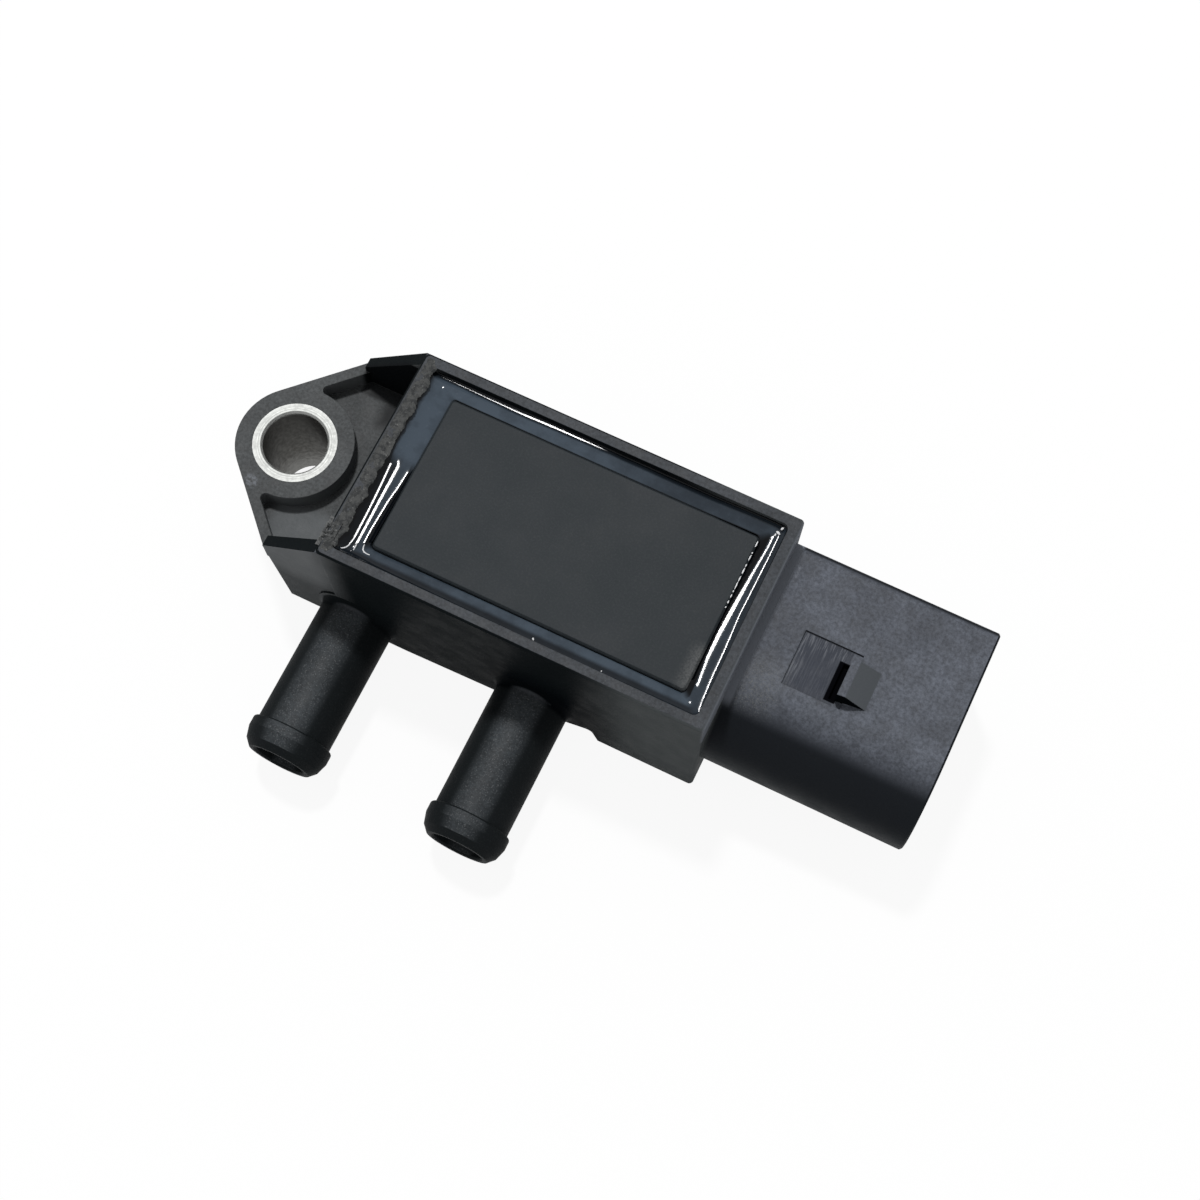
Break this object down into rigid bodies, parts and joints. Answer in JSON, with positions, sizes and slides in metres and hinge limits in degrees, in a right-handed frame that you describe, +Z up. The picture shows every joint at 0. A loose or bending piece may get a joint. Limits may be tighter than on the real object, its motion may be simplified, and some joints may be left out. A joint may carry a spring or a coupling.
{
  "type": "differential pressure sensor",
  "caption": "Moulded exhaust filter pressure sensor with hose nipples, a bushed mounting ear and a latched connector shroud under a bonded flat cover.",
  "frame": {"origin": "centre of the mounting hole, in the seat plane under the ear", "axes": "+X to the connector's mouth, hose nipples point to -Y, +Z up along the mounting hole to the cover"},
  "size_m": [0.0775, 0.0399, 0.0218],
  "materials": {
    "housing_plastic": "black glass-filled moulding",
    "bush_metal": "satin",
    "cover_plastic": "smooth dark grey",
    "adhesive": "glossy cured silicone",
    "board_laminate": "green solder mask",
    "board_glue": "soft grey adhesive",
    "terminal_tin": "tin plated",
    "solder": "bright solder",
    "cell_plastic": "natural moulding",
    "pedestal_glass": "ground glass, opaque",
    "silicon": "polished silicon",
    "gel": "soft clear gel",
    "gold": "bright wire",
    "chip_plastic": "black epoxy",
    "ceramic": "fired ceramic"
  },
  "bodies": {
    "root": {"housing": "housing_plastic", "mounting_bush": "bush_metal", "cover": "cover_plastic", "adhesive_bead": "adhesive", "circuit_board": "board_laminate", "board_bond": "board_glue", "terminal_supply": "terminal_tin", "terminal_signal": "terminal_tin", "terminal_ground": "terminal_tin", "solder_joints": "solder", "cell_frame": "cell_plastic", "frame_adhesive": "board_glue", "glass_pedestal": "pedestal_glass", "sense_chip": "silicon", "bond_wires": "gold", "cell_gel": "gel", "signal_chip": "chip_plastic", "signal_chip_leads": "terminal_tin", "capacitors": "ceramic", "resistors": "ceramic"}
  },
  "joints": []
}
